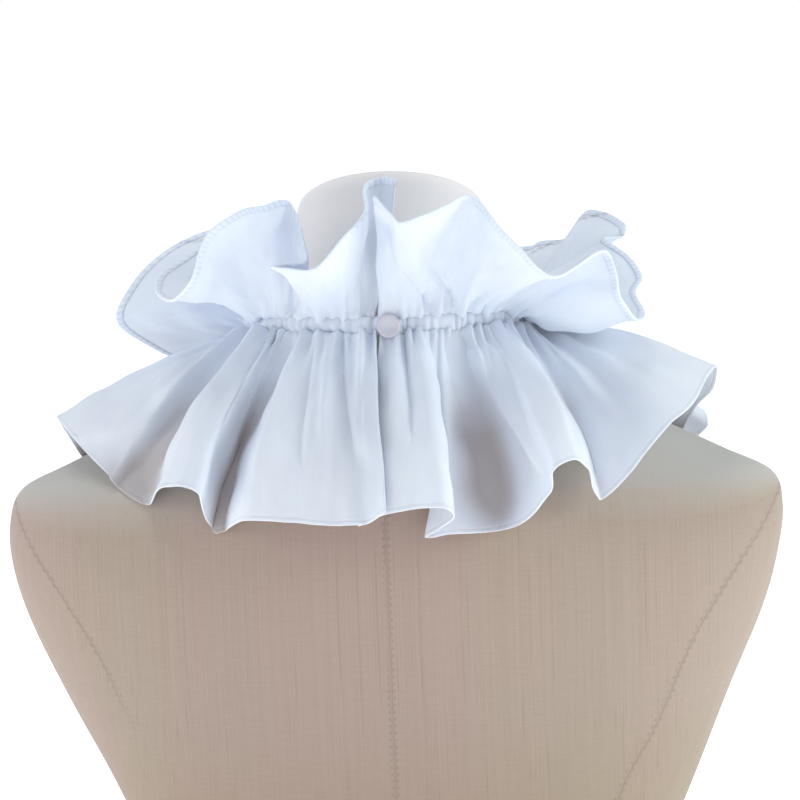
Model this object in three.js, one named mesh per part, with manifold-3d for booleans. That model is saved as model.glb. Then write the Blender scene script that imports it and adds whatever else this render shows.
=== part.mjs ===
// Ruffled collar of white cotton, buttoned at the nape of a linen-covered dress form.
// Millimetres, +Z up. The form's face looks along -Y and its back along +Y.
// The origin is the centre of the form's flat base.
// Angles round the neck start at the centre back and grow towards the wearer's right, -X.

import * as THREE from 'three';
import { mergeVertices } from 'three/addons/utils/BufferGeometryUtils.js';
import Module from 'manifold-3d';

// Cloth
const WALL = 1;
const SEAM_GAP = 0.3;
// Extra room at the ruffles' seams, for the flat facets of the curved neckline
const SEAM_SLACK = 0.4;
const FORM_GAP = 0.8;

// Neckline, an oval that dips to the front
const NECK_HALF_WIDTH = 71.5;
const NECK_HALF_DEPTH = 62;
const NECK_HEIGHT = 557.5;
const NECK_DIP = 22;
const NECK_ARCH = 6.5;

// Neck band, one strip whose ends lap under the button
const BAND_HEIGHT = 7.2;
const BAND_WALL = 1.2;
const BAND_UNDER_END = -5;
const BAND_OVER_END = 369.5;
const BAND_LAP_START = 345;
const BAND_LAP_FULL = 353;
const BAND_STEPS = 96;

// Button on a thread shank, and the buttonhole in the band's outer end
const BUTTON_STAND = 4.2;
const BUTTON_ANGLE = 3;
const BUTTON_SEGMENTS = 28;
const SHANK_RADIUS = 1.1;
const BUTTONHOLE_LENGTH = 9;
const BUTTONHOLE_HEIGHT = 3;

// Section of the button beyond its shank: distance from its axis, height above its back
const BUTTON_SECTION = [
  [5, 0], [5.8, 0.6], [6, 1.2], [5.7, 2.1], [5.1, 2.6], [4.4, 2.5], [3.4, 2.1], [0, 2.1],
];

// Gathers at the neck edge of both ruffles
const COLUMNS_PER_GATHER = 4;
const GATHER_DEPTH = 1.1;
const GATHER_FADE = 2.5;
const LOWER_GATHERS = 48;
const UPPER_GATHERS = 40;

// Each ruffle's arch between its seam and its hem, near the seam and near the hem
const LOWER_ARCH = [5, 9];
const UPPER_ARCH = [4, 6];

// One row for each turn of the upper hem: where its gather sits on the neckline, degrees,
// then where the hem runs: degrees around, distance out from the axis, height
const UPPER_HEM = [
  [-1, 1, 98, 638], [3, 5, 108, 631], [7, 7, 112, 626], [12, 13, 113, 628],
  [22, 27, 103, 636], [32, 32, 123, 617], [42, 39, 133, 598], [53, 55, 133, 607],
  [58, 58, 136, 597], [64, 59, 137, 583], [69, 69, 134, 570], [73, 78, 133, 572],
  [77, 83, 127, 581], [81, 86, 130, 588], [86, 89, 124, 598], [91, 94, 112, 607],
  [96, 96, 122, 608], [100, 97, 123, 614], [110, 107, 109, 620], [116, 119, 105, 605],
  [122, 132, 107, 602], [128, 140, 112, 598], [134, 143, 101, 598], [140, 146, 108, 591],
  [147, 152, 124, 566], [154, 162, 121, 562], [160, 168, 103, 580], [167, 174, 99, 588],
  [174, 178, 112, 573], [181, 184, 126, 551], [188, 193, 120, 555], [195, 199, 101, 578],
  [202, 204, 98, 588], [209, 209, 112, 577], [216, 215, 128, 556], [223, 224, 126, 557],
  [229, 230, 110, 580], [235, 235, 109, 590], [247, 242, 132, 560], [253, 245, 134, 546],
  [259, 258, 141, 560], [264, 268, 144, 574], [268, 263, 138, 590], [272, 252, 129, 605],
  [276, 245, 110, 615], [279, 255, 100, 612], [282, 265, 105, 605], [286, 275, 117, 596],
  [289, 285, 120, 590], [292, 299, 119, 587],
  [296, 313, 124, 597], [304, 317, 118, 621], [309, 322, 107, 631], [314, 327, 98, 634],
  [318, 328, 80, 635], [322, 335, 84, 617], [326, 338, 91, 607], [328, 335, 105, 607],
  [331, 338, 123, 607], [339, 348, 124, 607], [345, 354, 113, 620], [349, 358, 84, 632],
  [352, 356, 66, 642], [354, 362, 62, 645], [357, 369, 67, 644],
];

// The same for the lower hem
const LOWER_HEM = [
  [0, -5, 117, 484], [5, 3, 133, 493], [13, 13, 136, 495], [16, 16, 131, 489],
  [19, 14, 120, 482], [22, 12, 105, 475], [25, 16, 110, 477], [35, 31, 120, 480],
  [43, 35, 140, 497], [47, 34, 148, 509], [52, 38, 150, 514], [57, 42, 147, 508],
  [66, 51, 134, 488], [70, 54, 142, 496], [80, 60, 160, 523], [85, 67, 164, 531],
  [90, 77, 164, 540], [94, 85, 167, 542], [98, 90, 165, 529], [102, 95, 157, 517],
  [106, 102, 150, 494], [109, 106, 162, 495], [113, 104, 170, 504], [117, 106, 167, 512],
  [121, 111, 156, 502], [125, 114, 152, 486], [129, 118, 146, 474], [134, 122, 150, 487],
  [138, 126, 152, 491], [143, 134, 144, 474], [147, 139, 130, 457], [152, 142, 139, 470],
  [156, 146, 143, 475], [161, 153, 133, 458], [165, 158, 118, 443], [170, 162, 128, 452],
  [175, 167, 134, 459], [180, 175, 124, 446], [184, 180, 110, 436], [193, 188, 132, 456],
  [198, 196, 124, 447], [203, 201, 112, 437], [208, 205, 127, 450], [213, 210, 138, 464],
  [218, 218, 131, 456], [223, 223, 121, 447], [228, 227, 136, 463], [233, 232, 147, 480],
  [238, 240, 140, 468], [243, 246, 136, 463], [253, 254, 158, 497], [262, 264, 160, 486],
  [266, 268, 168, 503], [269, 271, 176, 522], [274, 279, 167, 518], [286, 293, 153, 503],
  [292, 295, 145, 492], [297, 303, 139, 489], [302, 314, 145, 502], [312, 322, 140, 500],
  [316, 316, 124, 482], [320, 314, 112, 474], [327, 330, 130, 487], [353, 357, 128, 487],
  [358, 362, 134, 494],
];

// Dress form, one row for each level: height at its axis, half width, depth to the back,
// depth to the front, roundness power, rise of the level for each millimetre towards the back,
// place of its middle along X
const FORM_LEVELS = [
  [0, 168, 105, 105, 2.2, 0, 0],
  [60, 157, 99, 102, 2.2, 0, 0],
  [120, 134, 88, 92, 2.2, 0, 0],
  [188, 118, 80, 80, 2.2, 0, 0],
  [250, 126, 81, 86, 2.2, 0, 0],
  [290, 138, 84, 98, 2.2, 0, 0],
  [333, 155.5, 88, 108, 2.2, 0, 0.5],
  [376, 174.5, 92, 109, 2.2, 0, 2.5],
  [419, 193, 95, 103, 2.15, 0, 3],
  [448, 200.8, 95, 95, 2.1, 0, 3],
  [470, 202, 93, 88, 2, 0.02, 2],
  [486, 195.5, 90, 83, 1.85, 0.04, 1],
  [498, 171, 87, 79, 1.75, 0.07, 0.5],
  [509, 148, 84, 75, 1.7, 0.1, 0],
  [522, 120, 79, 69.5, 1.7, 0.16, 0],
  [535, 93.5, 71.4, 61.3, 1.75, 0.22, 0],
  [546, 77.6, 63.5, 57.5, 1.85, 0.27, 0],
  [556, 71, 56.8, 56.6, 1.93, 0.31, 0],
  [566, 66.5, 54, 57, 2, 0.35, 0],
  [580, 58, 50.5, 56.5, 2, 0.38, -0.5],
  [597, 52, 47.5, 57, 2, 0.42, -1],
  [615, 49, 44, 58.5, 2, 0.45, -2],
  [625, 47.8, 42.5, 59, 2, 0.466, -2.3],
  [629, 44.8, 39.5, 56, 2, 0.466, -2.3],
  [631, 38, 33, 49.5, 2, 0.466, -2.3],
];
const FORM_RINGS = 34;
const FORM_SEGMENTS = 44;
const RING_BIAS = 1.6;

// Steps of each ruffle's wall from seam to hem, closer together near the seam
const LOWER_STEPS = 6;
const UPPER_STEPS = 6;
const STEP_BIAS = 1.3;

const radians = THREE.MathUtils.degToRad;

// Smooth value of every column of a table at one place in its first column
function rowAt(table, place) {
  const last = table.length - 1;
  let i = 0;
  while (i < last - 1 && table[i + 1][0] <= place) i += 1;
  const span = table[i + 1][0] - table[i][0];
  const t = THREE.MathUtils.clamp((place - table[i][0]) / span, 0, 1);
  const slope = (row, column) => {
    const before = table[Math.max(row - 1, 0)];
    const after = table[Math.min(row + 1, last)];
    return (after[column] - before[column]) / (after[0] - before[0]);
  };
  return table[i].map((value, column) => (
    value * (2 * t ** 3 - 3 * t ** 2 + 1)
    + table[i + 1][column] * (3 * t ** 2 - 2 * t ** 3)
    + slope(i, column) * span * (t ** 3 - 2 * t ** 2 + t)
    + slope(i + 1, column) * span * (t ** 3 - t ** 2)
  ));
}

function outward(degrees) {
  return new THREE.Vector3(-Math.sin(radians(degrees)), Math.cos(radians(degrees)), 0);
}

function neckPoint(degrees, lift = 0) {
  const turn = radians(degrees);
  const height = NECK_HEIGHT + NECK_DIP * Math.cos(turn) - NECK_ARCH * Math.cos(2 * turn);
  return new THREE.Vector3(
    -NECK_HALF_WIDTH * Math.sin(turn),
    NECK_HALF_DEPTH * Math.cos(turn),
    height + lift,
  );
}

// How far a point lies outside the form's level that passes it, as a share of the level's size
function formExcess(point) {
  let level = rowAt(FORM_LEVELS, point.z);
  for (let i = 0; i < 4; i += 1) level = rowAt(FORM_LEVELS, point.z - level[5] * point.y);
  const [, halfWidth, back, front, power, , middle] = level;
  const depth = point.y > 0 ? back : front;
  const across = (Math.abs(point.x - middle) / halfWidth) ** power;
  const along = (Math.abs(point.y) / depth) ** power;
  return (across + along) ** (1 / power) - 1;
}

// Moves a point of the cloth out until it lies the given distance off the form
function clearOfForm(point, distance) {
  const probe = 0.5;
  for (let pass = 0; pass < 2; pass += 1) {
    const excess = formExcess(point);
    const slope = new THREE.Vector3(
      formExcess(point.clone().setX(point.x + probe)) - excess,
      formExcess(point.clone().setY(point.y + probe)) - excess,
      formExcess(point.clone().setZ(point.z + probe)) - excess,
    ).divideScalar(probe);
    const short = distance - excess / slope.length();
    if (short > 0) point.addScaledVector(slope.normalize(), short);
  }
  return point;
}

// A point of a ruffle's middle surface: side runs along the strip, drop from seam to hem
function rufflePoint(hemTable, gathers, lift, arch, side, drop) {
  const first = hemTable[0][0];
  const neck = first + (hemTable[hemTable.length - 1][0] - first) * side;
  const [, around, out, up] = rowAt(hemTable, neck);
  const start = neckPoint(neck, lift);
  const hem = outward(around).multiplyScalar(out).setZ(up);
  const chord = hem.clone().sub(start);
  const radial = outward(neck);
  const run = chord.dot(radial);
  const bow = new THREE.Vector3(0, 0, run).addScaledVector(radial, -chord.z).normalize();
  const nearSeam = start.clone().addScaledVector(chord, 1 / 3).addScaledVector(bow, arch[0]);
  const nearHem = start.clone().addScaledVector(chord, 2 / 3).addScaledVector(bow, arch[1]);
  const point = new THREE.CubicBezierCurve3(start, nearSeam, nearHem, hem).getPoint(drop);
  const gather = GATHER_DEPTH * Math.cos(2 * Math.PI * gathers * side);
  point.addScaledVector(radial, gather * (1 - drop) ** GATHER_FADE);
  return clearOfForm(point, FORM_GAP + WALL / 2);
}

// Closed wall of even thickness on both sides of a grid of points, upright along its seam edge
function wallGeometry(points, thickness) {
  const columns = points.length;
  const rows = points[0].length;
  const positions = [];
  [0.5, -0.5].forEach((side) => {
    for (let c = 0; c < columns; c += 1) {
      for (let r = 0; r < rows; r += 1) {
        const along = points[Math.min(c + 1, columns - 1)][r].clone().sub(points[Math.max(c - 1, 0)][r]);
        const down = points[c][Math.min(r + 1, rows - 1)].clone().sub(points[c][Math.max(r - 1, 0)]);
        const normal = along.cross(down);
        if (r === 0) normal.setZ(0);
        normal.normalize();
        const point = points[c][r].clone().addScaledVector(normal, side * thickness);
        positions.push(point.x, point.y, point.z);
      }
    }
  });
  const top = (c, r) => c * rows + r;
  const under = (c, r) => columns * rows + c * rows + r;
  const faces = [];
  const quad = (a, b, c, d) => faces.push(a, b, c, a, c, d);
  for (let c = 0; c < columns - 1; c += 1) {
    for (let r = 0; r < rows - 1; r += 1) {
      quad(top(c, r), top(c + 1, r), top(c + 1, r + 1), top(c, r + 1));
      quad(under(c, r), under(c, r + 1), under(c + 1, r + 1), under(c + 1, r));
    }
    quad(top(c, 0), under(c, 0), under(c + 1, 0), top(c + 1, 0));
    quad(top(c, rows - 1), top(c + 1, rows - 1), under(c + 1, rows - 1), under(c, rows - 1));
  }
  for (let r = 0; r < rows - 1; r += 1) {
    quad(top(0, r), top(0, r + 1), under(0, r + 1), under(0, r));
    quad(top(columns - 1, r), under(columns - 1, r), under(columns - 1, r + 1), top(columns - 1, r + 1));
  }
  const geometry = new THREE.BufferGeometry();
  geometry.setAttribute('position', new THREE.Float32BufferAttribute(positions, 3));
  geometry.setIndex(faces);
  return geometry;
}

function ruffleGeometry(hemTable, gathers, lift, arch, steps) {
  const columns = gathers * COLUMNS_PER_GATHER;
  const points = [];
  for (let c = 0; c <= columns; c += 1) {
    const column = [];
    for (let r = 0; r <= steps; r += 1) {
      const drop = (r / steps) ** STEP_BIAS;
      column.push(rufflePoint(hemTable, gathers, lift, arch, c / columns, drop));
    }
    points.push(column);
  }
  return wallGeometry(points, WALL);
}

function bandGeometry() {
  const points = [];
  for (let c = 0; c <= BAND_STEPS; c += 1) {
    const angle = THREE.MathUtils.lerp(BAND_UNDER_END, BAND_OVER_END, c / BAND_STEPS);
    const lap = THREE.MathUtils.smoothstep(angle, BAND_LAP_START, BAND_LAP_FULL);
    const offset = outward(angle).multiplyScalar(lap * (BAND_WALL + SEAM_GAP));
    points.push([BAND_HEIGHT / 2, 0, -BAND_HEIGHT / 2].map((lift) => neckPoint(angle, lift).add(offset)));
  }
  return wallGeometry(points, BAND_WALL);
}

// Disc with a raised rim and the thread shank behind it, turned about Y
function buttonGeometry() {
  const shankEnd = BAND_WALL / 2 + SEAM_GAP - BUTTON_STAND;
  const shank = [[0, shankEnd], [SHANK_RADIUS, shankEnd], [SHANK_RADIUS, 0]];
  const profile = [...shank, ...BUTTON_SECTION];
  return new THREE.LatheGeometry(profile.map(([x, y]) => new THREE.Vector2(x, y)), BUTTON_SEGMENTS);
}

function formGeometry() {
  const top = FORM_LEVELS[FORM_LEVELS.length - 1][0];
  const positions = [];
  for (let ring = 0; ring <= FORM_RINGS; ring += 1) {
    const share = ring / FORM_RINGS;
    const level = rowAt(FORM_LEVELS, top * (1 - (1 - share) ** RING_BIAS));
    const [height, halfWidth, back, front, power, rise, middle] = level;
    for (let s = 0; s < FORM_SEGMENTS; s += 1) {
      const turn = 2 * Math.PI * s / FORM_SEGMENTS;
      const [sine, cosine] = [Math.sin(turn), Math.cos(turn)];
      const round = (Math.abs(sine) ** power + Math.abs(cosine) ** power) ** (-1 / power);
      const y = cosine * round * (cosine > 0 ? back : front);
      positions.push(middle - sine * round * halfWidth, y, height + rise * y);
    }
  }
  const centre = positions.length / 3;
  positions.push(0, 0, 0, FORM_LEVELS.at(-1)[6], 0, top);
  const faces = [];
  for (let s = 0; s < FORM_SEGMENTS; s += 1) {
    const next = (s + 1) % FORM_SEGMENTS;
    for (let ring = 0; ring < FORM_RINGS; ring += 1) {
      const here = ring * FORM_SEGMENTS;
      const above = here + FORM_SEGMENTS;
      faces.push(here + s, here + next, above + next, here + s, above + next, above + s);
    }
    const topRing = FORM_RINGS * FORM_SEGMENTS;
    faces.push(centre, next, s, centre + 1, topRing + s, topRing + next);
  }
  const geometry = new THREE.BufferGeometry();
  geometry.setAttribute('position', new THREE.Float32BufferAttribute(positions, 3));
  geometry.setIndex(faces);
  return geometry;
}

// Boolean cut of one closed mesh by another
const wasm = await Module();
wasm.setup();

function solid(geometry) {
  const bare = geometry.clone();
  bare.deleteAttribute('normal');
  bare.deleteAttribute('uv');
  const merged = mergeVertices(bare);
  return new wasm.Manifold(new wasm.Mesh({
    numProp: 3,
    vertProperties: merged.attributes.position.array,
    triVerts: new Uint32Array(merged.index.array),
  }));
}

function cut(geometry, tool) {
  const mesh = solid(geometry).subtract(solid(tool)).getMesh();
  const result = new THREE.BufferGeometry();
  result.setAttribute('position', new THREE.BufferAttribute(mesh.vertProperties, 3));
  result.setIndex(new THREE.BufferAttribute(mesh.triVerts, 1));
  return result;
}

const cotton = new THREE.MeshStandardMaterial({ color: 0xeef1f8, roughness: 0.9, metalness: 0 });
const linen = new THREE.MeshStandardMaterial({ color: 0xc3b49f, roughness: 0.95, metalness: 0 });
const pearl = new THREE.MeshStandardMaterial({ color: 0xe6e6ee, roughness: 0.25, metalness: 0 });

function piece(name, geometry, material) {
  const mesh = new THREE.Mesh(geometry, material);
  mesh.name = name;
  return mesh;
}

// The button's place, facing straight out from the band
const buttonPlace = neckPoint(BUTTON_ANGLE).addScaledVector(outward(BUTTON_ANGLE), BUTTON_STAND);
const buttonTurn = new THREE.Quaternion().setFromUnitVectors(
  new THREE.Vector3(0, 1, 0),
  outward(BUTTON_ANGLE),
);

const buttonhole = new THREE.BoxGeometry(BUTTONHOLE_LENGTH, BAND_WALL + SEAM_GAP, BUTTONHOLE_HEIGHT);
buttonhole.translate(0, BAND_WALL + SEAM_GAP, 0);
buttonhole.applyQuaternion(buttonTurn);
buttonhole.translate(...neckPoint(BUTTON_ANGLE).toArray());

const seamLift = BAND_HEIGHT / 2 + SEAM_GAP + SEAM_SLACK;
const collar = new THREE.Group();
collar.add(piece('dress_form', formGeometry(), linen));
collar.add(piece('neck_band', cut(bandGeometry(), buttonhole), cotton));
collar.add(piece(
  'upper_ruffle',
  ruffleGeometry(UPPER_HEM, UPPER_GATHERS, seamLift, UPPER_ARCH, UPPER_STEPS),
  cotton,
));
collar.add(piece(
  'lower_ruffle',
  ruffleGeometry(LOWER_HEM, LOWER_GATHERS, -seamLift, LOWER_ARCH, LOWER_STEPS),
  cotton,
));
const button = piece('button', buttonGeometry(), pearl);
button.position.copy(buttonPlace);
button.quaternion.copy(buttonTurn);
collar.add(button);

export default collar;
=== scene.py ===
import math

import bmesh
import bpy
import numpy as np
from mathutils import Matrix, Vector


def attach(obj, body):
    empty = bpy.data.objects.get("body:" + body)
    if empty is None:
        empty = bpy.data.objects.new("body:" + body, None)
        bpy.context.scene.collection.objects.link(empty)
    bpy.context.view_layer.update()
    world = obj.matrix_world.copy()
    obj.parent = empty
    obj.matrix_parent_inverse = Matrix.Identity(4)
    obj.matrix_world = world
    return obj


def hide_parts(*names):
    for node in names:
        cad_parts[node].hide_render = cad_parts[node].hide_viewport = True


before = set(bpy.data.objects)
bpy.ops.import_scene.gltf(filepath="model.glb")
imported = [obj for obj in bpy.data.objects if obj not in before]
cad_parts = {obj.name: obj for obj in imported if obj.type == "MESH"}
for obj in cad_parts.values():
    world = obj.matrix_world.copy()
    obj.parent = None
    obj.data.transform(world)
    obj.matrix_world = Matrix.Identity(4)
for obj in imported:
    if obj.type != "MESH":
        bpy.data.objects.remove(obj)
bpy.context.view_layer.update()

# Camera
# It looks at the back of the collar from a little above and a little to the wearer's right,
# and leans two degrees, as the one that took the photo did.
look_round, look_down, lean = math.radians(4), math.radians(8), math.radians(2)
distance, metres_across, sensor_width = 1.2, 0.416, 36  # m, m, mm
aim = Vector((-0.0036, 0, 0.527))
ahead = Vector((
    math.sin(look_round) * math.cos(look_down),
    -math.cos(look_round) * math.cos(look_down),
    -math.sin(look_down),
))
level_right = Vector((-math.cos(look_round), -math.sin(look_round), 0))
level_up = level_right.cross(ahead)
right = level_right * math.cos(lean) - level_up * math.sin(lean)
up = level_right * math.sin(lean) + level_up * math.cos(lean)
camera = bpy.data.objects.new("camera", bpy.data.cameras.new("camera"))
bpy.context.collection.objects.link(camera)
camera.data.sensor_width = sensor_width
camera.data.lens = sensor_width * distance / metres_across
camera.matrix_world = (
    Matrix.Translation(aim - ahead * distance)
    @ Matrix((right, up, -ahead)).transposed().to_4x4()
)
bpy.context.scene.camera = camera

# Dress form
# A limbless torso and neck, padded and covered in beige slubbed linen, with a capped neck.
# Its cover is sewn down the centre back and along the armholes with small running stitches.
form_levels = [  # mm: height, half width, to the back, to the front, roundness, rise, middle
    [0, 168, 105, 105, 2.2, 0, 0],
    [60, 157, 99, 102, 2.2, 0, 0],
    [120, 134, 88, 92, 2.2, 0, 0],
    [188, 118, 80, 80, 2.2, 0, 0],
    [250, 126, 81, 86, 2.2, 0, 0],
    [290, 138, 84, 98, 2.2, 0, 0],
    [333, 155.5, 88, 108, 2.2, 0, 0.5],
    [376, 174.5, 92, 109, 2.2, 0, 2.5],
    [419, 193, 95, 103, 2.15, 0, 3],
    [448, 200.8, 95, 95, 2.1, 0, 3],
    [470, 202, 93, 88, 2, 0.02, 2],
    [486, 195.5, 90, 83, 1.85, 0.04, 1],
    [498, 171, 87, 79, 1.75, 0.07, 0.5],
    [509, 148, 84, 75, 1.7, 0.1, 0],
    [522, 120, 79, 69.5, 1.7, 0.16, 0],
    [535, 93.5, 71.4, 61.3, 1.75, 0.22, 0],
    [546, 77.6, 63.5, 57.5, 1.85, 0.27, 0],
    [556, 71, 56.8, 56.6, 1.93, 0.31, 0],
    [566, 66.5, 54, 57, 2, 0.35, 0],
    [580, 58, 50.5, 56.5, 2, 0.38, -0.5],
    [597, 52, 47.5, 57, 2, 0.42, -1],
    [615, 49, 44, 58.5, 2, 0.45, -2],
    [625, 47.8, 42.5, 59, 2, 0.466, -2.3],
    [629, 44.8, 39.5, 56, 2, 0.466, -2.3],
    [631, 38, 33, 49.5, 2, 0.466, -2.3],
]
form_top = form_levels[-1][0]


def rows_at(table, places):
    """Every column of a table at many places in its first column, on one smooth curve."""
    table = np.array(table, float)
    knots, last = table[:, 0], len(table) - 1
    places = np.asarray(places, float)
    i = np.clip(np.searchsorted(knots, places, side="right") - 1, 0, last - 1)
    span = (knots[i + 1] - knots[i])[..., None]
    t = np.clip((places - knots[i])[..., None] / span, 0, 1)
    rows = np.arange(last + 1)
    before, after = table[np.maximum(rows - 1, 0)], table[np.minimum(rows + 1, last)]
    slope = (after - before) / (after[:, :1] - before[:, :1])
    return (
        table[i] * (2 * t**3 - 3 * t**2 + 1)
        + table[i + 1] * (3 * t**2 - 2 * t**3)
        + slope[i] * span * (t**3 - 2 * t**2 + t)
        + slope[i + 1] * span * (t**3 - t**2)
    )


def piece_from(bm, name):
    """A piece in the scene from a bmesh."""
    mesh = bpy.data.meshes.new(name)
    bm.to_mesh(mesh)
    bm.free()
    piece = bpy.data.objects.new(name, mesh)
    bpy.context.collection.objects.link(piece)
    return piece


def grid_piece(name, columns, rows, place, flat, tube=False, near=None):
    """A grid whose point at side and drop, 0 to 1, lies where place puts it, in mm."""
    bm = bmesh.new()
    bmesh.ops.create_grid(bm, x_segments=columns, y_segments=rows, size=0.5)
    spots = np.array([v.co[:2] for v in bm.verts]) + 0.5
    points = place(spots[:, 0], spots[:, 1])
    for vertex, point in zip(bm.verts, points / 1000):
        vertex.co = point
    # near gives each point its share of painted shade, kept as a layer for the material.
    if near:
        close = bm.verts.layers.float.new("painted_shade_near_form")
        for vertex, value in zip(bm.verts, near(points)):
            vertex[close] = value
    uv = bm.loops.layers.uv.new("cloth")
    for face in bm.faces:
        face.smooth = True
        for loop in face.loops:
            side, drop = spots[loop.vert.index]
            loop[uv].uv = (side * flat[0], drop * flat[1])
    if tube:
        bmesh.ops.remove_doubles(bm, verts=bm.verts, dist=1e-6)
    return piece_from(bm, name)


def close_ends(piece):
    """One flat face over each open end of a tube."""
    bm = bmesh.new()
    bm.from_mesh(piece.data)
    bmesh.ops.holes_fill(bm, edges=[e for e in bm.edges if e.is_boundary], sides=0)
    bmesh.ops.recalc_face_normals(bm, faces=bm.faces)
    bm.to_mesh(piece.data)
    bm.free()


def form_point(turn, share):
    """A point of the form's cover. Its rows lie closer together towards the neck."""
    level = rows_at(form_levels, form_top * (1 - (1 - share) ** 1.3))
    height, half_width, back, front, power, rise, middle = level.T
    sine, cosine = np.sin(2 * np.pi * turn), np.cos(2 * np.pi * turn)
    size = (np.abs(sine) ** power + np.abs(cosine) ** power) ** (-1 / power)
    y = cosine * size * np.where(cosine > 0, back, front)
    return np.column_stack([middle - sine * size * half_width, y, height + rise * y])


form = grid_piece("form_cover", 360, 260, form_point, flat=(0.95, 0.66), tube=True)
close_ends(form)


class Finish:
    """A material of a piece, with short ways to add to its nodes."""

    def __init__(self, material):
        material.use_nodes = True
        tree = material.node_tree
        self.material, self.nodes, self.links = material, tree.nodes, tree.links
        self.surface = tree.nodes["Principled BSDF"].inputs

    def put(self, value, socket):
        """A link from another socket, or else a colour or number, set on the socket itself."""
        if isinstance(value, bpy.types.NodeSocket):
            self.links.new(value, socket)
        elif isinstance(value, tuple):
            socket.default_value = (*value, 1)
        else:
            socket.default_value = value

    def cloth_uv(self):
        """The place on the flat cloth, in metres."""
        node = self.nodes.new("ShaderNodeUVMap")
        node.uv_map = "cloth"
        return node.outputs["UV"]

    def parts(self, vector):
        """The X, Y and Z of a vector."""
        node = self.nodes.new("ShaderNodeSeparateXYZ")
        self.links.new(vector, node.inputs["Vector"])
        return node.outputs["X"], node.outputs["Y"], node.outputs["Z"]

    def noise(self, source, across, along, detail=3):
        """Noise whose grains are as wide and long as given, in metres."""
        mapping = self.nodes.new("ShaderNodeMapping")
        mapping.inputs["Scale"].default_value = (1 / across, 1 / along, 1)
        noise = self.nodes.new("ShaderNodeTexNoise")
        noise.inputs["Scale"].default_value = 1
        noise.inputs["Detail"].default_value = detail
        noise.inputs["Roughness"].default_value = 0.55
        self.links.new(source, mapping.inputs["Vector"])
        self.links.new(mapping.outputs["Vector"], noise.inputs["Vector"])
        return noise.outputs["Fac"]

    def ramp(self, source, stops):
        """Colours by a value, each stop its place and its colour."""
        node = self.nodes.new("ShaderNodeValToRGB")
        elements = node.color_ramp.elements
        for element, (place, colour) in zip(elements, (stops[0], stops[-1])):
            element.position, element.color = place, (*colour, 1)
        for place, colour in stops[1:-1]:
            elements.new(place).color = (*colour, 1)
        self.links.new(source, node.inputs["Fac"])
        return node.outputs["Color"]

    def mixed(self, kind, share, first, second):
        """Two colours put together, each a socket or a colour."""
        node = self.nodes.new("ShaderNodeMix")
        node.data_type, node.blend_type = "RGBA", kind
        self.put(share, node.inputs["Factor"])
        for value, socket in zip((first, second), [s for s in node.inputs if s.type == "RGBA"]):
            self.put(value, socket)
        return [s for s in node.outputs if s.type == "RGBA"][0]

    def worked(self, operation, *values):
        """One Math node on sockets or numbers."""
        node = self.nodes.new("ShaderNodeMath")
        node.operation = operation
        for value, socket in zip(values, node.inputs):
            self.put(value, socket)
        return node.outputs["Value"]

    def between(self, value, low, high, ends=(0, 1), kind="LINEAR"):
        """The first end up to the low value, and from there on to the second at the high one."""
        node = self.nodes.new("ShaderNodeMapRange")
        node.interpolation_type = kind
        for name, number in zip(("From Min", "From Max", "To Min", "To Max"), (low, high, *ends)):
            node.inputs[name].default_value = number
        self.links.new(value, node.inputs["Value"])
        return node.outputs["Result"]

    def line_at(self, offset, half_width):
        """1 on a line where the offset is nought, falling to 0 at the half width."""
        away = self.worked("ABSOLUTE", offset)
        return self.between(away, half_width * 0.3, half_width, (1, 0), "SMOOTHSTEP")

    def bumped(self, height, strength, depth, under=None):
        """A bump of the given depth in metres from a height, over another bump if one is given."""
        node = self.nodes.new("ShaderNodeBump")
        node.inputs["Strength"].default_value = strength
        node.inputs["Distance"].default_value = depth
        self.links.new(height, node.inputs["Height"])
        if under:
            self.links.new(under, node.inputs["Normal"])
        return node.outputs["Normal"]


linen = Finish(bpy.data.materials.new("slubbed_linen"))
linen.surface["Roughness"].default_value = 0.9
linen.surface["Sheen Weight"].default_value = 0.15
on_form = linen.nodes.new("ShaderNodeTexCoord").outputs
form_x, form_y, form_z = linen.parts(on_form["Object"])
facing_x, _, facing_z = linen.parts(on_form["Normal"])
on_side = linen.between(linen.worked("ABSOLUTE", facing_x), 0.62, 0.78)
across_side = linen.nodes.new("ShaderNodeMapping")
across_side.inputs["Rotation"].default_value = (0, 0, math.pi / 2)
linen.links.new(on_form["Object"], across_side.inputs["Vector"])


def threads(across, along):
    """Threads that run up the cover, or over its shoulders, both on its back and on its sides."""
    back = linen.noise(on_form["Object"], across, along)
    side = linen.noise(across_side.outputs["Vector"], across, along)
    node = linen.nodes.new("ShaderNodeMix")
    for value, socket in zip((on_side, back, side), [s for s in node.inputs if s.type == "VALUE"]):
        linen.put(value, socket)
    return [s for s in node.outputs if s.type == "VALUE"][0]


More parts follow.
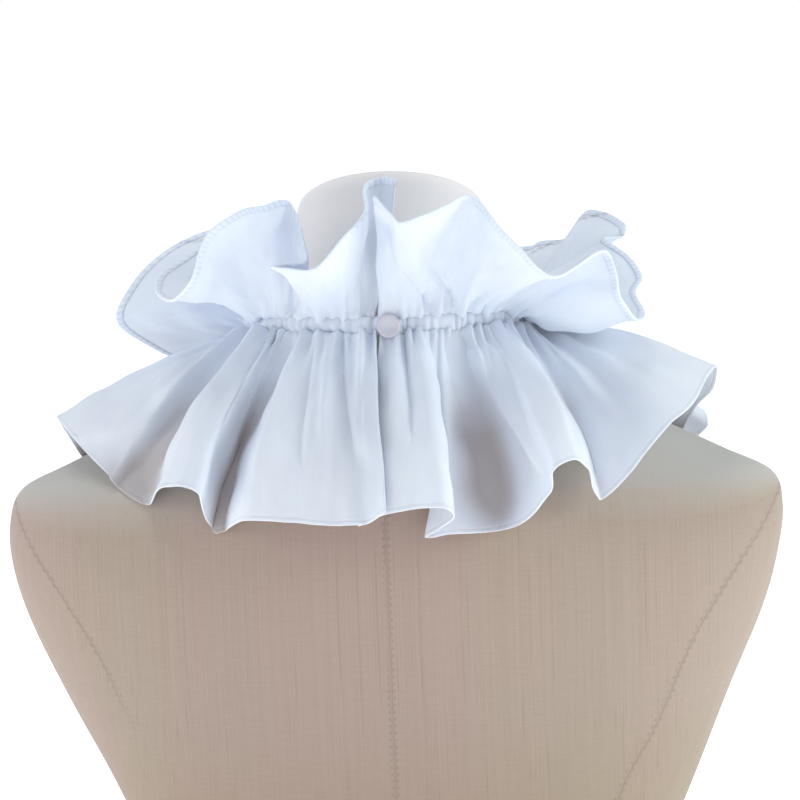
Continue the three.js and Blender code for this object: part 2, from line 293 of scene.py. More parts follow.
# The linen's colours: its threads and slubs, its clouds, and painted shade that makes it darker
# and yellower lower down. It is a little more olive at the wearer's right, and is painted paler
# where it faces up on the shoulders, as painted light from above.
tallest = 0.65  # m, just above the form's top
slubs, warp_threads = threads(0.0009, 0.006), threads(0.0006, 0.011)
weft_threads = linen.noise(linen.cloth_uv(), 0.012, 0.0009)
clouds = linen.noise(on_form["Object"], 0.09, 0.09, detail=2)
height_share = linen.worked("DIVIDE", form_z, tallest)
cover = linen.ramp(warp_threads, [(0.3, (0.43, 0.335, 0.284)), (0.7, (0.465, 0.366, 0.312))])
for share, source, stops in (
    (0.3, weft_threads, [(0.3, (0.82, 0.8, 0.78)), (0.7, (1, 1, 1))]),
    (0.7, slubs, [(0.6, (1, 1, 1)), (0.74, (0.8, 0.76, 0.72))]),
    (0.9, clouds, [(0.35, (0.95, 0.98, 0.9)), (0.65, (1, 0.95, 0.95))]),
    # The last is painted shade: the cover is darker and yellower lower down, where less light falls.
    (1, height_share, [(0.5, (0.86, 0.85, 0.79)), (0.59, (0.95, 0.96, 0.965)), (0.67, (1, 1, 1))]),
):
    cover = linen.mixed("MULTIPLY", share, cover, linen.ramp(source, stops))
cover = linen.mixed("MULTIPLY", linen.between(form_x, -0.03, -0.17), cover, (0.94, 1, 0.96))
# Painted light: above the shoulder line the cover is painted paler where it faces up, where the light from
# above falls.
up_high = linen.worked("GREATER_THAN", form_z, 0.4)
painted_top_light = linen.between(linen.worked("MULTIPLY", facing_z, up_high), 0.25, 0.85)
cover = linen.mixed("MIX", painted_top_light, cover, (0.55, 0.53, 0.49))

armhole_seam = [  # m: height, distance from the middle
    (0, 0.1), (0.1, 0.084), (0.19, 0.077), (0.26, 0.088), (0.3365, 0.112), (0.371, 0.131),
    (0.4117, 0.149), (0.435, 0.164), (0.4732, 0.193), (0.5, 0.21), (tallest, 0.23),
]
widest = 0.25  # m, just beyond the seam's furthest place
seam_curve = linen.nodes.new("ShaderNodeFloatCurve")
points = seam_curve.mapping.curves[0].points
for point, (seam_height, out) in zip(points, (armhole_seam[0], armhole_seam[-1])):
    point.location = (seam_height / tallest, out / widest)
for seam_height, out in armhole_seam[1:-1]:
    points.new(seam_height / tallest, out / widest)
seam_curve.mapping.update()
linen.links.new(height_share, seam_curve.inputs["Value"])
seam_out = linen.worked("MULTIPLY", seam_curve.outputs["Value"], widest)
from_armhole = linen.worked("SUBTRACT", linen.worked("ABSOLUTE", form_x), seam_out)
from_side = linen.worked("ADD", form_y, 0.012)
from_centre = linen.worked("ADD", form_x, 0.001)


def beside(offset, away, half_width):
    """Two lines, one on each side of a seam."""
    return linen.line_at(linen.worked("SUBTRACT", linen.worked("ABSOLUTE", offset), away), half_width)


# On the back at the wearer's left the armhole's seam fades out below the shoulder blade
sewn = linen.between(form_z, 0.36, 0.41)
for past in (form_x, form_y):
    sewn = linen.worked("MAXIMUM", sewn, linen.worked("LESS_THAN", past, 0))
seam_grooves_and_shade = linen.worked("MULTIPLY", linen.line_at(from_armhole, 0.001), sewn)
for offset in (from_side, from_centre):
    seam_grooves_and_shade = linen.worked("MAXIMUM", seam_grooves_and_shade, linen.line_at(offset, 0.0009))
armhole_line = linen.worked("MULTIPLY", beside(from_armhole, 0.0014, 0.0008), sewn)
stitch_lines = linen.worked("MAXIMUM", armhole_line, beside(from_centre, 0.0013, 0.0007))
stitch_length = 0.0036  # m, with the space after it
dashes = linen.worked("SINE", linen.worked("MULTIPLY", form_z, 2 * math.pi / stitch_length))
dashes = linen.worked(
    "MULTIPLY", linen.worked("GREATER_THAN", dashes, 0.2), linen.worked("GREATER_THAN", warp_threads, 0.47)
)
stitches = linen.worked("MULTIPLY", stitch_lines, dashes)
# The seams' dark line is painted shade in their sunk grooves; the stitches' dark dashes are thread.
for lines, colour in ((seam_grooves_and_shade, (0.22, 0.17, 0.14)), (stitches, (0.16, 0.11, 0.08))):
    cover = linen.mixed("MIX", linen.worked("MULTIPLY", lines, 0.22), cover, colour)
cover = linen.mixed("MIX", linen.between(form_z, 0.53, 0.6), cover, (0.83, 0.8, 0.79))  # neck cap
linen.links.new(cover, linen.surface["Base Color"])
weave = linen.bumped(warp_threads, 0.3, 0.0003, linen.bumped(weft_threads, 0.3, 0.0002))
sunk = linen.worked("SUBTRACT", 1, linen.worked("MAXIMUM", seam_grooves_and_shade, stitches))
linen.links.new(linen.bumped(sunk, 0.6, 0.0005, weave), linen.surface["Normal"])
form.data.materials.append(linen.material)
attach(form, "root")
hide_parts("dress_form")

# Ruffles
# Two long strips of crisp white cotton, gathered on the neck band: the upper one stands and
# flares round the neck, the lower one falls in deep waves over the shoulders. Their free edges
# are hemmed, and their ends meet at the centre back below and above the button.
upper_hem = [  # degrees on the neckline, then of the hem: degrees, mm out, mm up
    [-1, 1, 98, 638], [3, 5, 108, 631], [7, 7, 112, 626], [12, 13, 113, 628],
    [22, 27, 103, 636], [32, 32, 123, 617], [42, 39, 133, 598], [53, 55, 133, 607],
    [58, 58, 136, 597], [64, 59, 137, 583], [69, 69, 134, 570], [73, 78, 133, 572],
    [77, 83, 127, 581], [81, 86, 130, 588], [86, 89, 124, 598], [91, 94, 112, 607],
    [96, 96, 122, 608], [100, 97, 123, 614], [110, 107, 109, 620], [116, 119, 105, 605],
    [122, 132, 107, 602], [128, 140, 112, 598], [134, 143, 101, 598], [140, 146, 108, 591],
    [147, 152, 124, 566], [154, 162, 121, 562], [160, 168, 103, 580], [167, 174, 99, 588],
    [174, 178, 112, 573], [181, 184, 126, 551], [188, 193, 120, 555], [195, 199, 101, 578],
    [202, 204, 98, 588], [209, 209, 112, 577], [216, 215, 128, 556], [223, 224, 126, 557],
    [229, 230, 110, 580], [235, 235, 109, 590], [247, 242, 132, 560], [253, 245, 134, 546],
    [259, 258, 141, 560], [264, 268, 144, 574], [268, 263, 138, 590], [272, 252, 129, 605],
    [276, 245, 110, 615], [279, 255, 100, 612], [282, 265, 105, 605], [286, 275, 117, 596],
    [289, 285, 120, 590], [292, 299, 119, 587],
    [296, 313, 124, 597], [304, 317, 118, 621], [309, 322, 107, 631], [314, 327, 98, 634],
    [318, 328, 80, 635], [322, 335, 84, 617], [326, 338, 91, 607], [328, 335, 105, 607],
    [331, 338, 123, 607], [339, 348, 124, 607], [345, 354, 113, 620], [349, 358, 84, 632],
    [352, 356, 66, 642], [354, 362, 62, 645], [357, 369, 67, 644],
]
lower_hem = [
    [0, -5, 117, 484], [5, 3, 133, 493], [13, 13, 136, 495], [16, 16, 131, 489],
    [19, 14, 120, 482], [22, 12, 105, 475], [25, 16, 110, 477], [35, 31, 120, 480],
    [43, 35, 140, 497], [47, 34, 148, 509], [52, 38, 150, 514], [57, 42, 147, 508],
    [66, 51, 134, 488], [70, 54, 142, 496], [80, 60, 160, 523], [85, 67, 164, 531],
    [90, 77, 164, 540], [94, 85, 167, 542], [98, 90, 165, 529], [102, 95, 157, 517],
    [106, 102, 150, 494], [109, 106, 162, 495], [113, 104, 170, 504], [117, 106, 167, 512],
    [121, 111, 156, 502], [125, 114, 152, 486], [129, 118, 146, 474], [134, 122, 150, 487],
    [138, 126, 152, 491], [143, 134, 144, 474], [147, 139, 130, 457], [152, 142, 139, 470],
    [156, 146, 143, 475], [161, 153, 133, 458], [165, 158, 118, 443], [170, 162, 128, 452],
    [175, 167, 134, 459], [180, 175, 124, 446], [184, 180, 110, 436], [193, 188, 132, 456],
    [198, 196, 124, 447], [203, 201, 112, 437], [208, 205, 127, 450], [213, 210, 138, 464],
    [218, 218, 131, 456], [223, 223, 121, 447], [228, 227, 136, 463], [233, 232, 147, 480],
    [238, 240, 140, 468], [243, 246, 136, 463], [253, 254, 158, 497], [262, 264, 160, 486],
    [266, 268, 168, 503], [269, 271, 176, 522], [274, 279, 167, 518], [286, 293, 153, 503],
    [292, 295, 145, 492], [297, 303, 139, 489], [302, 314, 145, 502], [312, 322, 140, 500],
    [316, 316, 124, 482], [320, 314, 112, 474], [327, 330, 130, 487], [353, 357, 128, 487],
    [358, 362, 134, 494],
]
seam_lift, form_gap, cloth = 2.4, 0.8, 0.7  # mm: off the band's middle, off the form, thick
neck_half_width, neck_half_depth, neck_length = 71.5, 62, 420  # mm
neck_height, neck_tilt, neck_sag = 557.5, 22, 6.5  # mm: up, higher behind, lower there than aside


def outward(degrees):
    turn = np.radians(degrees)
    return np.column_stack([-np.sin(turn), np.cos(turn), np.zeros_like(turn)])


def neck_point(degrees, lift=0):
    turn = np.radians(degrees)
    height = neck_height + neck_tilt * np.cos(turn) - neck_sag * np.cos(2 * turn)
    x, y = -neck_half_width * np.sin(turn), neck_half_depth * np.cos(turn)
    return np.column_stack([x, y, height + lift])


def form_excess(points):
    """How far points lie outside the form's level that passes them, as a share of its size."""
    x, y, z = points.T
    level = rows_at(form_levels, z)
    for _ in range(4):
        level = rows_at(form_levels, z - level[:, 5] * y)
    height, half_width, back, front, power, rise, middle = level.T
    across, deep = np.abs(x - middle) / half_width, np.abs(y) / np.where(y > 0, back, front)
    return (across**power + deep**power) ** (1 / power) - 1


def excess_slope(points, excess):
    """How fast the excess grows at the points, along each axis."""
    step = 0.5  # mm
    return np.column_stack([form_excess(points + step * axis) - excess for axis in np.eye(3)]) / step


def clear_of_form(points, distance):
    """The points, moved out where they lie closer to the form than the distance."""
    for _ in range(2):
        excess = form_excess(points)
        slope = excess_slope(points, excess)
        steep = np.linalg.norm(slope, axis=1)
        short = np.maximum(distance - excess / steep, 0)
        points = points + slope / steep[:, None] * short[:, None]
    return points


def ruffle_base(hem_rows, lift, arch, side, drop):
    """The cloth's large folds: a bowed line from the seam to the hem for every place along it."""
    neck = hem_rows[0][0] + (hem_rows[-1][0] - hem_rows[0][0]) * side
    _, around, out, height = rows_at(hem_rows, neck).T
    start = neck_point(neck, lift)
    hem = outward(around) * out[:, None]
    hem[:, 2] = height
    chord, radial = hem - start, outward(neck)
    run = np.sum(chord * radial, axis=1)
    bow = -radial * chord[:, 2:]
    bow[:, 2] += run
    bow /= np.linalg.norm(bow, axis=1)[:, None]
    t = drop[:, None]
    near_seam, near_hem = start + chord / 3 + bow * arch[0], start + chord * 2 / 3 + bow * arch[1]
    bowed = (1 - t) ** 3 * start + 3 * (1 - t) ** 2 * t * near_seam
    return bowed + 3 * (1 - t) * t**2 * near_hem + t**3 * hem


def normals(surface, side, drop, step, rise):
    """A surface's unit normals, from the points a little before and after each place."""
    low, high = np.maximum(side - step, 0), np.minimum(side + step, 1)
    early, late = np.maximum(drop - rise, 0), np.minimum(drop + rise, 1)
    normal = np.cross(surface(high, drop) - surface(low, drop), surface(side, late) - surface(side, early))
    return normal / np.linalg.norm(normal, axis=1)[:, None]


def waves(rng, count, longest, shortest):
    """Soft random hills about 1 high, from many waves of the given lengths in mm."""
    length = np.exp(rng.uniform(np.log(shortest), np.log(longest), count))
    heading, start = rng.uniform(0, 2 * np.pi, (2, count))
    across, along = np.cos(heading) / length, np.sin(heading) / length

    def height(u, v):
        total = sum(np.cos(2 * np.pi * (a * u + b * v) + s) for a, b, s in zip(across, along, start))
        return total / np.sqrt(count / 2) / 1.6

    return height


def gathered(rng, spacing, longest):
    """Uneven gathers along a seam: their phase, size and reach at each place, in mm."""
    drift, size, reach = waves(rng, 9, 50, 12), waves(rng, 9, 30, 7), waves(rng, 9, 30, 6)

    def parts(u):
        zero = np.zeros_like(u)
        phase = 2 * np.pi * u / spacing + 2.2 * drift(u, zero)
        return phase, 1 + 0.5 * size(u, zero), longest * (0.55 + 0.45 * reach(u, zero))

    return parts


class Ruffle:
    """One ruffle's surface, from its large folds, its creases and its gathers."""

    def __init__(self, hem_rows, creases, curls, lift, arch, depth, seed, longest, swell, back_reach):
        rng = np.random.default_rng(seed)
        self.hem_rows, self.creases, self.curls = hem_rows, creases, curls
        self.lift, self.arch, self.depth = lift, arch, depth
        self.broad, self.fine = gathered(rng, 9.6, longest), gathered(rng, 4.3, 14)
        self.crumple = waves(rng, 16, 60, 16)
        self.degrees, self.swell, self.back_reach = hem_rows[-1][0] - hem_rows[0][0], swell, back_reach

    def base(self, side, drop):
        return ruffle_base(self.hem_rows, self.lift, self.arch, side, drop)

    def relief(self, side, drop):
        """How far the cloth stands proud of its large folds, in mm."""
        u, v = side * neck_length, drop * self.depth
        neck = self.hem_rows[0][0] + self.degrees * side

        # Broad gathers, which reach back_reach times as far behind, and fine ones
        phase, size, reach = self.broad(u)
        reach *= np.where(np.abs((neck + 180) % 360 - 180) < 75, self.back_reach, 1)
        fade = np.exp(-(v / np.maximum(reach, 9)) ** 1.6)
        total = self.swell * size * np.cos(phase + 0.6 * np.sin(phase)) * fade
        phase, size, reach = self.fine(u)
        total += 0.9 * size * np.cos(phase) * np.exp(-(v / np.maximum(reach, 3)) ** 1.3)
        total *= 0.3 + 0.7 * (1 - np.exp(-v / 2.5))

        # The cloth swells out just off the seam, is drawn in at it, and crumples all over
        total += 1.3 * np.exp(-(((v - 3) / 3.2) ** 2)) - 2.2 * np.exp(-v / 1.2)
        total += 0.55 * self.crumple(side * 1300, v) * np.clip(drop * 3, 0, 1)
        for seam_at, hem_at, start, end, deep, before, after in self.creases:
            away = neck - seam_at - (hem_at - seam_at) * drop
            spread = np.where(away < 0, before, after)
            rise = 0.06 + 0.02 * (before + after) / 2
            fade = np.clip(np.minimum((drop - start) / rise + 1, (end - drop) / (rise + 0.2)), 0, 1)
            fade = fade * fade * (3 - 2 * fade) * (1 - np.exp(-v / 3))
            total += deep * fade * np.exp(-np.abs(away / spread) ** 1.5)
        for at, drop_at, deep, wide, above, below in self.curls:
            spread = np.where(drop < drop_at, above, below)
            total += deep * np.exp(-(((neck - at) / wide) ** 2) - ((drop - drop_at) / spread) ** 2)
        return total

    def point(self, side, drop):
        normal = normals(self.base, side, drop, 0.0008, 0.01) * np.sign(self.lift)
        moved = self.base(side, drop) + normal * self.relief(side, drop)[:, None]
        return clear_of_form(moved, form_gap + cloth / 2)

    def hem_point(self, width, thick, ticks, tick_height):
        """The folded hem's section, wrapped round the free edge, with its stitches across it."""
        past_edge = 0.5  # mm

        def place(side, turn):
            angle = 2 * np.pi * turn
            inward = width * (0.5 + 0.5 * np.sign(np.cos(angle)) * np.abs(np.cos(angle)) ** 0.45)
            off = thick * np.sign(np.sin(angle)) * np.abs(np.sin(angle)) ** 0.5
            off = off * (1 + tick_height * np.cos(2 * np.pi * side * ticks))
            drop = 1 - (inward - past_edge) / self.depth
            inside = np.minimum(drop, 1)
            normal = normals(self.point, side, inside, 0.0005, 0.008)
            point = self.point(side, inside)
            down = point - self.point(side, inside - 0.01)
            down /= np.linalg.norm(down, axis=1)[:, None]
            return point + normal * off[:, None] + down * (np.maximum(drop - 1, 0) * self.depth)[:, None]

        return place


cotton = Finish(bpy.data.materials.new("crisp_white_cotton"))
cotton.surface["Roughness"].default_value = 0.82
cotton.surface["Sheen Weight"].default_value = 0.2
cotton.surface["Subsurface Weight"].default_value = 0.5
cotton.surface["Subsurface Radius"].default_value = (0.9, 0.95, 1)
cotton.surface["Subsurface Scale"].default_value = 0.0025
flat_cotton = cotton.cloth_uv()
warp = cotton.noise(flat_cotton, 0.0004, 0.006, detail=2)
weft = cotton.noise(flat_cotton, 0.006, 0.0004, detail=2)
crumple = cotton.noise(flat_cotton, 0.02, 0.03, detail=4)
tint = cotton.ramp(crumple, [(0.3, (0.745, 0.79, 0.91)), (0.7, (0.785, 0.855, 0.955))])
# Painted shade: the cotton is painted warm grey where it lies near the form, for the shade in its troughs
# and the form's colour seen through the thin cloth.
painted_shade_share = cotton.nodes.new("ShaderNodeAttribute")
painted_shade_share.attribute_name = "painted_shade_near_form"
tint = cotton.mixed("MIX", painted_shade_share.outputs["Fac"], tint, (0.43, 0.385, 0.38))
cotton.links.new(tint, cotton.surface["Base Color"])
weave = cotton.bumped(warp, 0.35, 0.00012, cotton.bumped(weft, 0.35, 0.00012))
cotton.links.new(cotton.bumped(crumple, 0.4, 0.0008, weave), cotton.surface["Normal"])

# degrees on the neckline of each crease's line at the seam and at the hem, the drops where it
# starts and ends, mm proud of the cloth (less than nought is a trough), degrees wide before it
# and after it
upper_creases = [
    [10, 19, 0.3, 0.95, 1.6, 5, 2.5], [20.6, -8, 0.06, 0.6, -3.4, 2.2, 2.2],
    [31.2, -4, 0.04, 0.55, -3.2, 1.8, 1.8], [32, 31, 0.1, 0.6, 2, 1.8, 1.8],
    [37.2, 37.5, 0.03, 0.5, -2.4, 1.5, 1.5], [43, 45, 0, 0.35, -1.2, 1.6, 1.6],
    [67, 62, 0, 0.5, -1.5, 2.2, 2.2], [71, 70, 0.25, 1.02, 7.5, 9, 9], [73, 71, 0.12, 0.7, 3, 10, 10],
    [85, 88, 0, 0.6, -1.6, 2.6, 2.6], [104, 101, 0, 0.4, -1.4, 2, 2], [121, 124, 0, 0.7, 1.3, 2.6, 2.6],
    [139, 136, 0, 0.5, -1.6, 2.2, 2.2], [158, 157, 0, 0.35, -1.3, 1.8, 1.8],
    [171, 175, 0, 0.6, -1.5, 2.4, 2.4], [190, 187, 0, 0.45, 1.2, 2.2, 2.2],
    [206, 208, 0, 0.5, -1.5, 2, 2], [228, 226, 0, 0.4, -1.3, 1.8, 1.8],
    [246, 250, 0, 0.55, -1.6, 2.4, 2.4], [254, 254, 0.1, 0.85, 3.6, 12, 9],
    [258, 256, 0.15, 0.9, -1.4, 2, 3], [262, 260, 0, 0.4, 1.2, 2, 2], [288, 301, 0.4, 0.95, -1, 3, 3],
    [308, 305, 0.2, 0.98, -1.3, 3.5, 3.5], [313, 308, 0.2, 0.98, 1, 3, 3],
    [322, 326, 0, 0.35, 1.2, 2, 2], [331, 334, 0, 0.3, -1.4, 1.6, 1.6],
    [346, 346, 0, 0.4, -1.2, 1.8, 1.8], [356.9, 351, 0.1, 0.9, -2.4, 2.5, 2.5],
]
lower_creases = [
    [5.5, 5.5, 0.02, 0.7, 2.2, 1.8, 1.6],
    [9, 8.8, 0.02, 0.8, -3.4, 1.4, 1.4], [13.5, 12, 0.03, 0.9, 2.2, 2.5, 5],
    [19.4, 21, 0.02, 0.35, -1.6, 1.3, 1.3], [23.8, 25.6, 0.08, 0.95, 2.6, 4, 1],
    [26.5, 29, 0.02, 0.3, -1.6, 1.2, 1.2], [28.5, 34, 0.1, 1.1, -9, 3.8, 6],
    [29.5, 25, 0, 0.36, -2.2, 1.2, 1.2], [32.5, 44, 0.2, 0.98, 5.5, 0.9, 5.5],
    [32.4, 26, 0, 0.4, -1.9, 1.2, 1.2], [42.5, 31, 0, 0.36, -1.6, 1.3, 1.3],
    [46, 48.2, 0.04, 0.62, -1.4, 2.2, 2.2], [54.5, 53.4, 0.05, 0.9, 2.6, 4.5, 1.4],
    [62, 59, 0.06, 0.75, -2.4, 3, 3], [73.4, 74.2, 0.04, 0.85, 2.6, 2.2, 1.6],
    [80.1, 76, 0.1, 0.88, -1.7, 2.8, 2.8], [88, 91, 0.1, 0.5, 2.4, 12, 8],
    [92, 93, 0.3, 0.9, 4.5, 11, 10], [96, 99, 0, 0.6, -1.6, 2.4, 2.4],
    [112, 110, 0, 0.8, -1.8, 2.6, 2.6], [127, 129, 0, 0.5, 1.5, 2.2, 2.2],
    [146, 144, 0, 0.7, -1.8, 2.4, 2.4], [160, 163, 0, 0.45, -1.6, 1.8, 1.8],
    [172, 170, 0, 0.85, 1.4, 2.6, 2.6], [187, 189, 0, 0.55, -1.8, 2.2, 2.2],
    [201, 199, 0, 0.4, -1.7, 1.6, 1.6], [214, 217, 0, 0.8, -1.8, 2.6, 2.6],
    [231, 229, 0, 0.6, 1.5, 2.2, 2.2], [245, 247, 0, 0.5, -1.6, 2, 2],
    [258, 256, 0, 0.75, -1.7, 2.6, 2.6], [270, 268, 0.15, 0.6, 2.4, 10, 8],
    [272, 274, 0, 0.5, -1.5, 2.2, 2.2],
    [285.6, 288.2, 0.08, 0.8, 6, 6, 0.8], [312.6, 276.2, 0.74, 1.3, 3.5, 7, 1.2],
    [293, 292, 0.1, 1.1, -2.2, 3.5, 3.5],
    [300.5, 293.8, 0.06, 0.92, -2.4, 2.6, 1.4], [303, 296, 0.06, 0.95, 4.5, 1, 5],
    [307.5, 315.5, 0.1, 0.98, -1.8, 2.2, 2.2], [315, 317.5, 0.1, 0.9, 1.6, 1.2, 3],
    [322, 323.5, 0.1, 0.7, -2, 2, 2], [327.5, 328.5, 0.03, 0.95, 2.6, 1.2, 4],
    [333.5, 340, 0.03, 0.9, -2.8, 2.4, 1.2], [338.6, 347, 0.03, 0.85, 2.4, 1.6, 3],
    [344, 355, 0.04, 0.8, -3.4, 3, 1], [352.5, 356.5, 0.03, 0.85, 3, 4.5, 4],
]
# turns of the cloth near the hem: degrees, drop, mm proud, degrees wide, drops wide above and below
upper_curls = [[71, 0.62, 3, 9, 0.3, 0.25], [254, 0.7, 1.5, 8, 0.3, 0.2]]
lower_curls = [
    [277, 0.62, 2.5, 7, 0.4, 0.2], [285, 0.98, -5, 6, 0.14, 0.3], [68, 0.8, 2.8, 7, 0.3, 0.12],
    [330, 0.86, 1.2, 10, 0.3, 0.1], [31.5, 0.92, -7, 6, 0.3, 0.2],
    [172, 0.82, 2.5, 8, 0.3, 0.12], [214, 0.84, 2.5, 7, 0.3, 0.12], [125, 0.8, 2.5, 7, 0.3, 0.12],
]
upper = Ruffle(
    upper_hem, upper_creases, upper_curls,
    lift=seam_lift, arch=(4, 6), depth=72, seed=11, longest=26, swell=2, back_reach=1,
)
lower = Ruffle(
    lower_hem, lower_creases, lower_curls,
    lift=-seam_lift, arch=(5, 9), depth=108, seed=23, longest=60, swell=2.7, back_reach=0.5,
)

# The upper hem's stitches show as slanted ticks of thread on both of its faces
stitched = Finish(cotton.material.copy())
stitched.material.name = "stitched_hem"
plain = stitched.surface["Base Color"].links[0].from_socket
along_hem, round_hem, _ = stitched.parts(stitched.cloth_uv())
tick_spacing, turn_length = 0.0031, 0.008  # m
slanted = stitched.worked("ADD", along_hem, stitched.worked("MULTIPLY", round_hem, 0.35))
ticks = stitched.worked("SINE", stitched.worked("MULTIPLY", slanted, 2 * math.pi / tick_spacing))
ticks = stitched.worked("MAXIMUM", ticks, 0)
face = stitched.worked("COSINE", stitched.worked("MULTIPLY", round_hem, 2 * math.pi / turn_length))
face = stitched.worked("LESS_THAN", stitched.worked("ABSOLUTE", face), 0.93)
thread = stitched.worked("MULTIPLY", stitched.worked("MULTIPLY", ticks, face), 0.32)
stitched.links.new(
    stitched.mixed("MIX", thread, plain, (0.5, 0.54, 0.64)), stitched.surface["Base Color"]
)


def painted_shade_near_form(points):
    """Painted shade, and the form's colour painted as if seen through the thin cloth: nearly 1 where the
    cloth lies on the form, 0 well away from it.
    """
    excess = form_excess(points)
    away = np.maximum(excess / np.linalg.norm(excess_slope(points, excess), axis=1) - 1.5, 0)
    turn = np.arctan2(-points[:, 0] / neck_half_width, points[:, 1] / neck_half_depth)
    from_seam = np.linalg.norm(points - neck_point(np.degrees(turn) % 360), axis=1)
    shaded = 0.85 * np.exp(-((away / 6.5) ** 2)) + 0.1 * np.exp(-away / 30)
    return shaded * np.clip((from_seam - 25) / 35, 0, 1)


def ruffle_pieces(ruffle, name, node, cut, finish, hem_width, hem_thick, ticks, tick_height):
    """A ruffle's cloth, and the hem that is folded round its free edge, its sizes in mm."""
    cloth_piece = grid_piece(
        name, 860, 46, lambda side, drop: ruffle.point(side, drop**1.15), flat=cut, near=painted_shade_near_form
    )
    wall = cloth_piece.modifiers.new("wall", "SOLIDIFY")
    wall.thickness, wall.offset = cloth / 1000, 0
    cloth_piece.data.materials.append(cotton.material)
    hem_place = ruffle.hem_point(hem_width, hem_thick, ticks, tick_height)
    hem_flat = (cut[0], hem_width * 2 / 1000)
    hem = grid_piece(name + "_hem", 1600, 10, hem_place, flat=hem_flat, tube=True, near=painted_shade_near_form)
    close_ends(hem)
    hem.data.materials.append(finish.material)
    for piece in (cloth_piece, hem):
        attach(piece, "root")
    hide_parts(node)
    return cloth_piece, hem


upper_cut, lower_cut = (1.35, 0.072), (1.46, 0.108)  # m
upper_piece, upper_edge = ruffle_pieces(
    upper, "upper_cloth", "upper_ruffle", upper_cut, stitched,
    hem_width=4, hem_thick=0.75, ticks=420, tick_height=0.1,
)
lower_piece, lower_edge = ruffle_pieces(
    lower, "lower_cloth", "lower_ruffle", lower_cut, cotton,
    hem_width=2.4, hem_thick=0.38, ticks=730, tick_height=0.04,
)

# Neck band
# One narrow strip of the same cotton that holds the gathers of both ruffles. It is gathered
# itself, so that it puffs a little, and its left end laps over the right one under the button.
band_gathers = gathered(np.random.default_rng(5), 5.2, 10)
band_puffs = waves(np.random.default_rng(6), 14, 18, 7)
band_start, band_turn, lap_start, lap_ease = -5, 374.5, 345, 8  # degrees
band_top, band_width, lap_rise = 4.3, 8.6, 1.5  # mm


def band_point(side, drop):
    angle = band_start + band_turn * side
    lap = np.clip((angle - lap_start) / lap_ease, 0, 1)
    lap = lap * lap * (3 - 2 * lap) * lap_rise
    around, down = angle / 354 * neck_length, band_width * drop
    phase, size, reach = band_gathers(around)
    puff = 0.6 * size * np.cos(phase + 0.9 * np.sin(np.pi * drop)) + 0.4 * band_puffs(around, down)
    tucked = 0.3 + 1.3 * (2 * drop - 1) ** 2
    return neck_point(angle, band_top - down) + outward(angle) * (lap + puff - tucked)[:, None]


def band_painted_shade(points):
    """A faint painted shade, all along the band, for the groove it lies in between the ruffles."""
    return np.full(len(points), 0.04)


band = grid_piece("band_cloth", 1000, 16, band_point, flat=(0.45, 0.008), near=band_painted_shade)
wall = band.modifiers.new("wall", "SOLIDIFY")
wall.thickness, wall.offset = 0.0009, 0
band.data.materials.append(cotton.material)
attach(band, "root")
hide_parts("neck_band")

# Button
# A round translucent pearl button with a raised rim. It is sewn on at the centre back, over
# the lap of the band, and faces straight out from the neck.
button_section = [  # mm from its axis, mm above its back
    [0, 0], [5, 0], [5.8, 0.6], [6, 1.2], [5.7, 2.1], [5.1, 2.6], [4.4, 2.5], [3.4, 2.1], [0, 2.1],
]
button_at, button_out = np.array([3.0]), 4.2  # degrees on the neckline, mm
bm = bmesh.new()
rim = [bm.verts.new((radius / 1000, 0, height / 1000)) for radius, height in button_section]
edges = [bm.edges.new(pair) for pair in zip(rim, rim[1:])]
bmesh.ops.spin(
    bm, geom=rim + edges, axis=(0, 0, 1), cent=(0, 0, 0), angle=2 * math.pi, steps=64, use_merge=True
)
bmesh.ops.remove_doubles(bm, verts=bm.verts, dist=1e-6)
bmesh.ops.recalc_face_normals(bm, faces=bm.faces)
for face in bm.faces:
    face.smooth = True
facing = outward(button_at)[0]
seat = Vector((neck_point(button_at)[0] + facing * button_out) / 1000)
turned = Vector(facing).to_track_quat("Z", "Y").to_matrix().to_4x4()
bmesh.ops.transform(bm, matrix=Matrix.Translation(seat) @ turned, verts=bm.verts)
button = piece_from(bm, "pearl_button")
pearl = Finish(bpy.data.materials.new("translucent_pearl"))
pearl.surface["Base Color"].default_value = (0.62, 0.61, 0.67, 1)
pearl.surface["Roughness"].default_value = 0.18
pearl.surface["Subsurface Weight"].default_value = 0.5
pearl.surface["Subsurface Scale"].default_value = 0.002
pearl.surface["Coat Weight"].default_value = 0.5
button.data.materials.append(pearl.material)
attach(button, "root")
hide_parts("button")

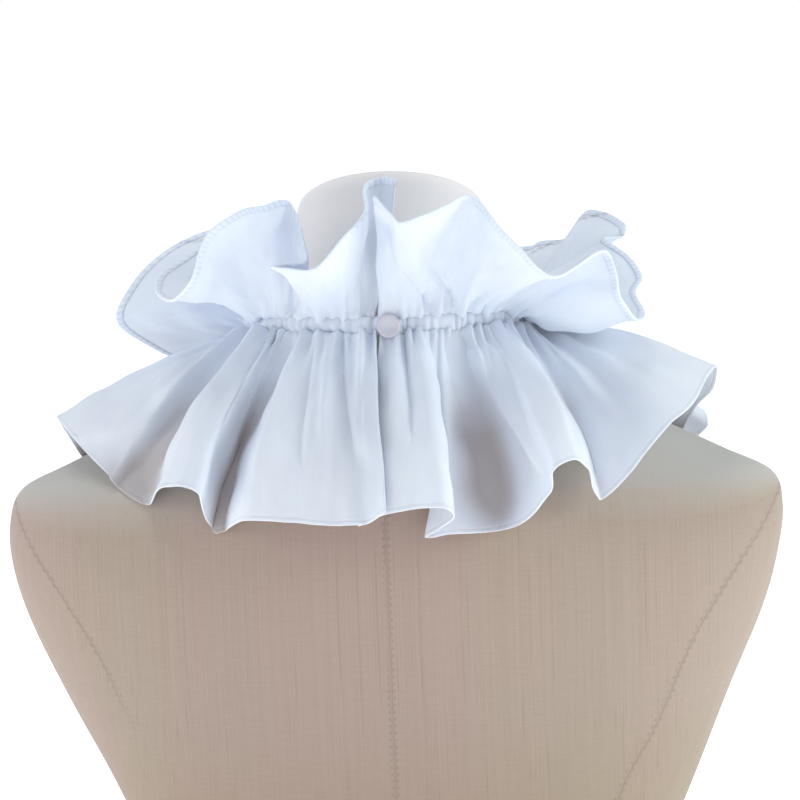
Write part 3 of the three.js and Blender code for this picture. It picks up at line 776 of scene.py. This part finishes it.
# Studio
# A plain pale floor under an even white light, with soft lamps on the picture's right, above
# the form and on the picture's left, and a white backdrop that only the camera sees.
bm = bmesh.new()
bmesh.ops.create_grid(bm, x_segments=1, y_segments=1, size=40)
floor = piece_from(bm, "floor")
pale = Finish(bpy.data.materials.new("pale_floor"))
pale.surface["Base Color"].default_value = (0.9, 0.9, 0.9, 1)
pale.surface["Roughness"].default_value = 0.9
pale.surface["Emission Color"].default_value = (1, 1, 1, 1)
pale.surface["Emission Strength"].default_value = 0.8
floor.data.materials.append(pale.material)

scene = bpy.context.scene
scene.view_settings.view_transform = "Standard"
world = bpy.data.worlds.new("studio")
scene.world = world
world.use_nodes = True
nodes, links = world.node_tree.nodes, world.node_tree.links
light = nodes["Background"]
light.inputs["Color"].default_value = (0.9, 0.945, 1, 1)
light.inputs["Strength"].default_value = 0.5
backdrop = nodes.new("ShaderNodeBackground")
backdrop.inputs["Color"].default_value = (1, 1, 1, 1)
seen, choice = nodes.new("ShaderNodeLightPath"), nodes.new("ShaderNodeMixShader")
links.new(seen.outputs["Is Camera Ray"], choice.inputs["Fac"])
links.new(light.outputs["Background"], choice.inputs[1])
links.new(backdrop.outputs["Background"], choice.inputs[2])
links.new(choice.outputs["Shader"], nodes["World Output"].inputs["Surface"])


def soft_lamp(name, at, size, watts, colour):
    """A square lamp, aimed at the upper part of the form."""
    lamp = bpy.data.objects.new(name, bpy.data.lights.new(name, "AREA"))
    bpy.context.collection.objects.link(lamp)
    lamp.data.size, lamp.data.energy, lamp.data.color = size, watts, colour
    lamp.location = at
    lamp.rotation_mode = "QUATERNION"
    lamp.rotation_quaternion = (Vector((0, 0, 0.5)) - Vector(at)).to_track_quat("-Z", "Y")


soft_lamp("key", (-1.7, 0.45, 1.2), 0.6, 10, (0.94, 1, 0.98))
soft_lamp("low", (-1.7, 0.5, 0.45), 0.6, 3, (0.94, 1, 0.98))
soft_lamp("top", (0.3, 0.1, 2), 0.6, 5.5, (0.95, 0.98, 1))
soft_lamp("side", (1.6, 0.4, 0.9), 0.8, 5.5, (0.94, 0.98, 1))
